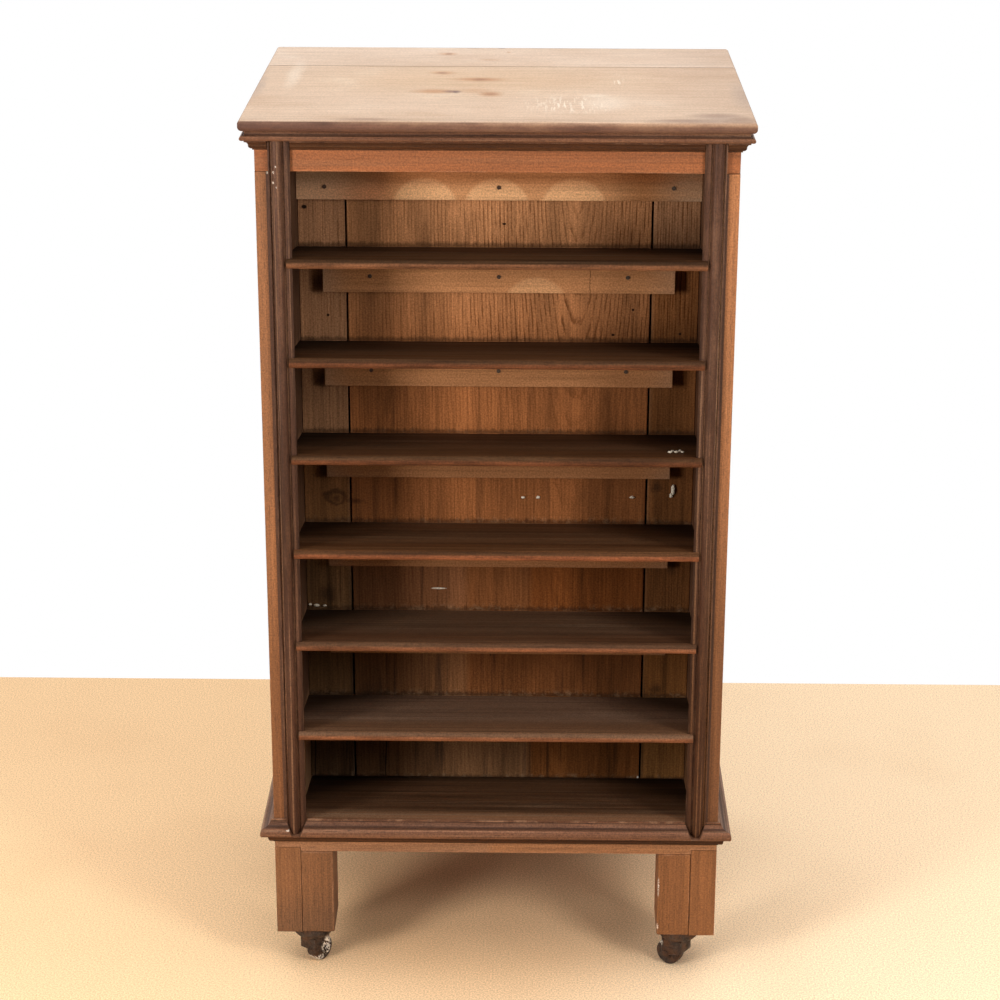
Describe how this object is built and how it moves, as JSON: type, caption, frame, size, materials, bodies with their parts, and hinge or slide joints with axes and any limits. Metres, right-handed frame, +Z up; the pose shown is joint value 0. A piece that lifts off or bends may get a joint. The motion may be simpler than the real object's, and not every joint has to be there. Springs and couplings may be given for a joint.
{
  "type": "cylinder record cabinet",
  "caption": "Open-front wooden cabinet with sloping shelves for boxed cylinder records, moulded cornice and base, on casters.",
  "frame": {"origin": "on the floor under the middle of the outline", "axes": "+Z up, the open front faces -Y, +X to the right seen from the front"},
  "size_m": [0.43, 0.347, 0.807],
  "materials": {
    "bleached_top": "bleached, worn through",
    "dark_moulding": "dark stain, worn edges",
    "frame_wood": "faded red-brown stain",
    "shelf_wood": "dark stain, dusty",
    "pine_board": "bare aged pine",
    "batten_wood": "bare pale wood",
    "nail_steel": "dull, rusted",
    "caster_iron": "rusted brown"
  },
  "bodies": {
    "cabinet": {"back_board_centre": "pine_board", "back_board_left": "pine_board", "back_board_right": "pine_board", "base_moulding_front": "dark_moulding", "base_moulding_left": "dark_moulding", "base_moulding_right": "dark_moulding", "batten_nails": "nail_steel", "bottom_shelf": "shelf_wood", "caster_plates": "caster_iron", "caster_screws": "nail_steel", "cornice_front": "dark_moulding", "cornice_left": "dark_moulding", "cornice_right": "dark_moulding", "front_bottom_rail": "frame_wood", "front_top_rail": "frame_wood", "leg_block_front_left": "frame_wood", "leg_block_front_right": "frame_wood", "leg_block_rear_left": "frame_wood", "leg_block_rear_right": "frame_wood", "partition_board_centre": "pine_board", "partition_board_left": "pine_board", "partition_board_right": "pine_board", "pilaster_left": "dark_moulding", "pilaster_right": "dark_moulding", "post_front_left": "frame_wood", "post_front_right": "frame_wood", "post_rear_left": "frame_wood", "post_rear_right": "frame_wood", "rear_bottom_rail": "frame_wood", "rear_floor_board": "frame_wood", "rear_top_rail": "frame_wood", "shelf_1": "shelf_wood", "shelf_2": "shelf_wood", "shelf_3": "shelf_wood", "shelf_4": "shelf_wood", "shelf_5": "shelf_wood", "shelf_6": "shelf_wood", "shelf_batten_1": "batten_wood", "shelf_batten_2": "batten_wood", "shelf_batten_3": "batten_wood", "shelf_batten_4": "batten_wood", "shelf_batten_5": "batten_wood", "shelf_batten_6": "batten_wood", "side_panel_left": "frame_wood", "side_panel_right": "frame_wood", "top_batten": "batten_wood", "top_front_board": "bleached_top", "top_rear_board": "bleached_top"},
    "caster_front_left": {"caster_fork_front_left": "caster_iron", "caster_axle_front_left": "caster_iron"},
    "wheel_front_left": {"caster_wheel_front_left": "caster_iron"},
    "caster_front_right": {"caster_fork_front_right": "caster_iron", "caster_axle_front_right": "caster_iron"},
    "wheel_front_right": {"caster_wheel_front_right": "caster_iron"},
    "caster_rear_left": {"caster_fork_rear_left": "caster_iron", "caster_axle_rear_left": "caster_iron"},
    "wheel_rear_left": {"caster_wheel_rear_left": "caster_iron"},
    "caster_rear_right": {"caster_fork_rear_right": "caster_iron", "caster_axle_rear_right": "caster_iron"},
    "wheel_rear_right": {"caster_wheel_rear_right": "caster_iron"}
  },
  "joints": [
    {"name": "caster_swivel_front_left", "type": "hinge", "parent": "cabinet", "child": "caster_front_left", "pos_m": [-0.171, -0.1415, 0.031], "axis": [0, 0, 1], "continuous": true},
    {"name": "wheel_roll_front_left", "type": "hinge", "parent": "caster_front_left", "child": "wheel_front_left", "pos_m": [-0.16641, -0.13495, 0.0125], "axis": [-0.8192, 0.5736, 0], "continuous": true},
    {"name": "caster_swivel_front_right", "type": "hinge", "parent": "cabinet", "child": "caster_front_right", "pos_m": [0.171, -0.1415, 0.031], "axis": [0, 0, 1], "continuous": true},
    {"name": "wheel_roll_front_right", "type": "hinge", "parent": "caster_front_right", "child": "wheel_front_right", "pos_m": [0.16453, -0.1368, 0.0125], "axis": [-0.5878, -0.809, 0], "continuous": true},
    {"name": "caster_swivel_rear_left", "type": "hinge", "parent": "cabinet", "child": "caster_rear_left", "pos_m": [-0.171, 0.1485, 0.031], "axis": [0, 0, 1], "continuous": true},
    {"name": "wheel_roll_rear_left", "type": "hinge", "parent": "caster_rear_left", "child": "wheel_rear_left", "pos_m": [-0.16749, 0.15569, 0.0125], "axis": [-0.8988, 0.4384, 0], "continuous": true},
    {"name": "caster_swivel_rear_right", "type": "hinge", "parent": "cabinet", "child": "caster_rear_right", "pos_m": [0.171, 0.1485, 0.031], "axis": [0, 0, 1], "continuous": true},
    {"name": "wheel_roll_rear_right", "type": "hinge", "parent": "caster_rear_right", "child": "wheel_rear_right", "pos_m": [0.16478, 0.15353, 0.0125], "axis": [-0.6293, -0.7771, 0], "continuous": true}
  ]
}
